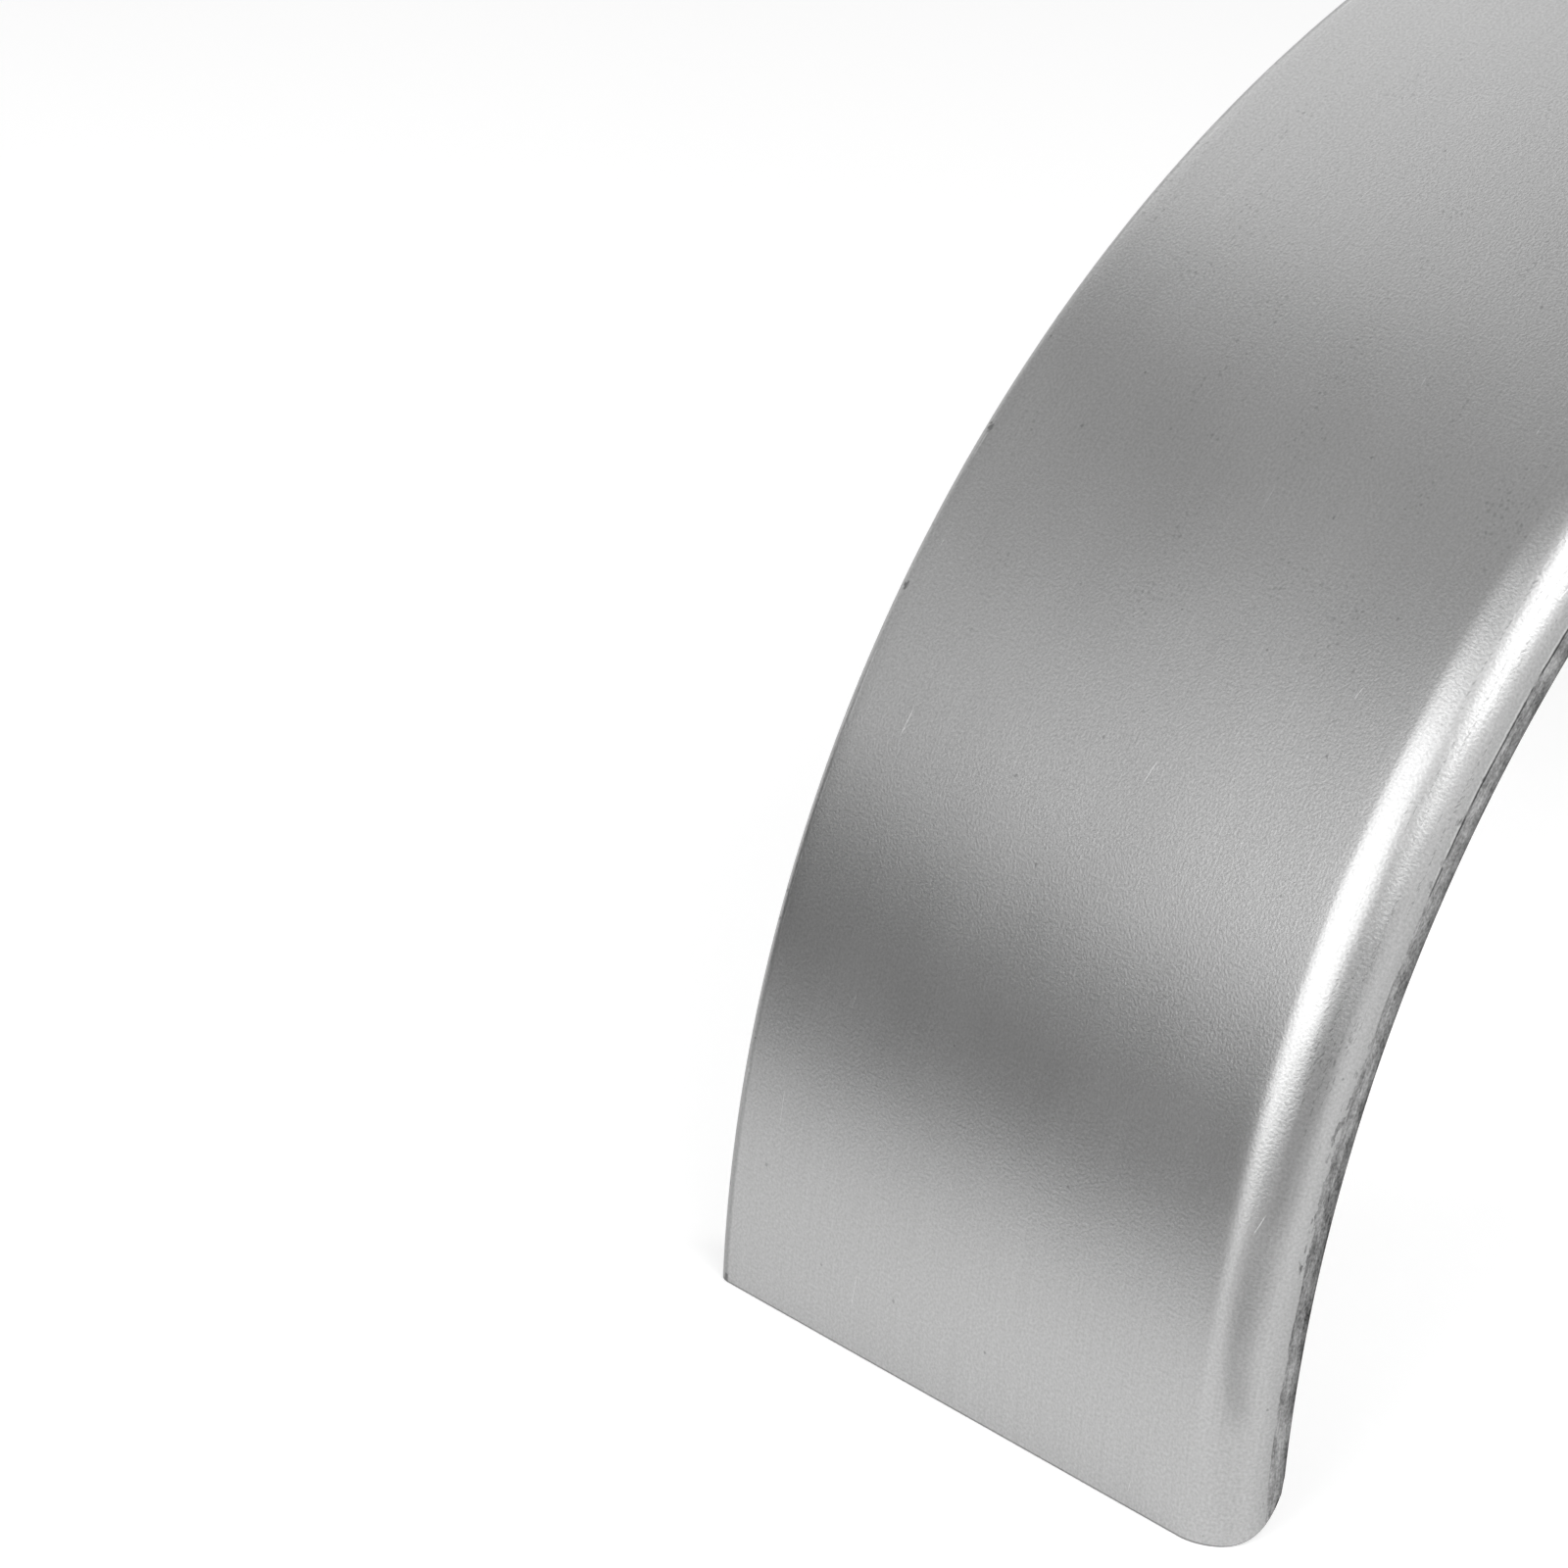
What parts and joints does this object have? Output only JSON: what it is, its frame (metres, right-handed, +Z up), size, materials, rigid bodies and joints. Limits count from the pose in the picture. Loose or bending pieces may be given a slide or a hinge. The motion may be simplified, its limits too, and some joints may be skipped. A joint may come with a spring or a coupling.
{
  "type": "trailer mudguard",
  "caption": "Arched steel trailer mudguard of pressed sheet: a wide flat web, a large roll along the outer edge and a square flange along the inner edge.",
  "frame": {"origin": "middle of the rectangle that the guard's two ends stand on, at their level", "axes": "+X along the arch, +Y across it towards the inner flange and the trailer, +Z up"},
  "size_m": [0.819, 0.224, 0.389],
  "materials": {
    "steel": "bare cold-rolled steel, satin, unpainted"
  },
  "bodies": {
    "root": {"mudguard": "steel"}
  },
  "joints": []
}
